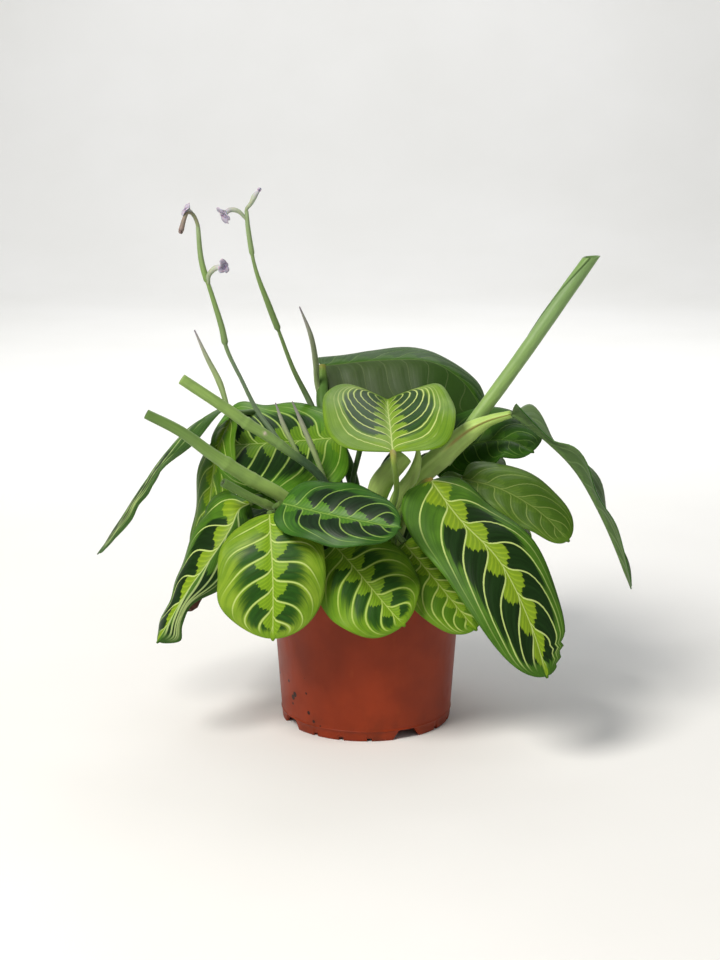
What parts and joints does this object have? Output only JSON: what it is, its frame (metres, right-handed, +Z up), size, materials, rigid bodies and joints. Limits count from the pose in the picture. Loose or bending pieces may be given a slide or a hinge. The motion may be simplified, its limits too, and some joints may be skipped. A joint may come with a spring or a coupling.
{
  "type": "potted prayer plant",
  "caption": "Prayer plant (maranta) with herringbone patterned oval leaves, cut shoots, a rolled young leaf and thin flower stalks, standing in a round plastic nursery pot.",
  "frame": {"origin": "middle of the pot's foot, on the plane that the foot ring stands on", "axes": "+Z up along the axis of the pot; -Y to the front, where the two large patterned leaves hang over the rim; +X to the right seen from the front"},
  "size_m": [0.3341, 0.2197, 0.3363],
  "materials": {
    "pot_plastic": "thin moulded plastic, satin, terracotta red",
    "soil": null,
    "leaf": null,
    "stem": null,
    "young_leaf": "young leaf still rolled up, pale green, satin",
    "flower_stalk": "thin green flower stalk and bracts, matt",
    "petal": "thin white petal with a violet mark",
    "withered_leaf": "dried brown leaf, matt and crumpled"
  },
  "bodies": {
    "root": {"pot": "pot_plastic", "soil": "soil", "leaf_front_right": "leaf", "stalk_front_right": "stem", "leaf_front_left": "leaf", "stalk_front_left": "stem", "leaf_front_dark": "leaf", "stalk_front_dark": "stem", "leaf_front_centre": "leaf", "stalk_front_centre": "stem", "leaf_under_right": "leaf", "stalk_under_right": "stem", "leaf_right_middle": "leaf", "stalk_right_middle": "stem", "leaf_right_back": "leaf", "stalk_right_back": "stem", "leaf_right_hanging": "leaf", "leaf_top_back": "leaf", "stalk_top_back": "stem", "leaf_top_heart": "leaf", "stalk_top_heart": "stem", "leaf_left_back": "leaf", "stalk_left_back": "stem", "leaf_left_middle": "leaf", "stalk_left_middle": "stem", "leaf_left_narrow": "leaf", "stalk_left_narrow": "stem", "leaf_left_folded": "leaf", "stalk_left_folded": "stem", "leaf_back_left_high": "leaf", "stalk_back_left_high": "stem", "leaf_back_right_high": "leaf", "stalk_back_right_high": "stem", "leaf_back_middle": "leaf", "stalk_back_middle": "stem", "leaf_back_low": "leaf", "stalk_back_low": "stem", "leaf_back_right_low": "leaf", "stalk_back_right_low": "stem", "leaf_back_left_low": "leaf", "stalk_back_left_low": "stem", "cut_shoot_long": "stem", "cut_shoot_high": "stem", "cut_shoot_small": "stem", "sheath_right": "stem", "sheath_middle": "stem", "rolled_leaf": "young_leaf", "young_leaf_tip": "young_leaf", "flower_stalk_left": "flower_stalk", "flower_stalk_tall": "flower_stalk", "spike_left": "flower_stalk", "spike_right": "flower_stalk", "spike_inner_left": "flower_stalk", "spike_inner_right": "flower_stalk", "flower_drooping": "petal", "flower_side": "petal", "flower_bud": "petal", "flower_top": "petal", "withered_tip": "withered_leaf"}
  },
  "joints": []
}
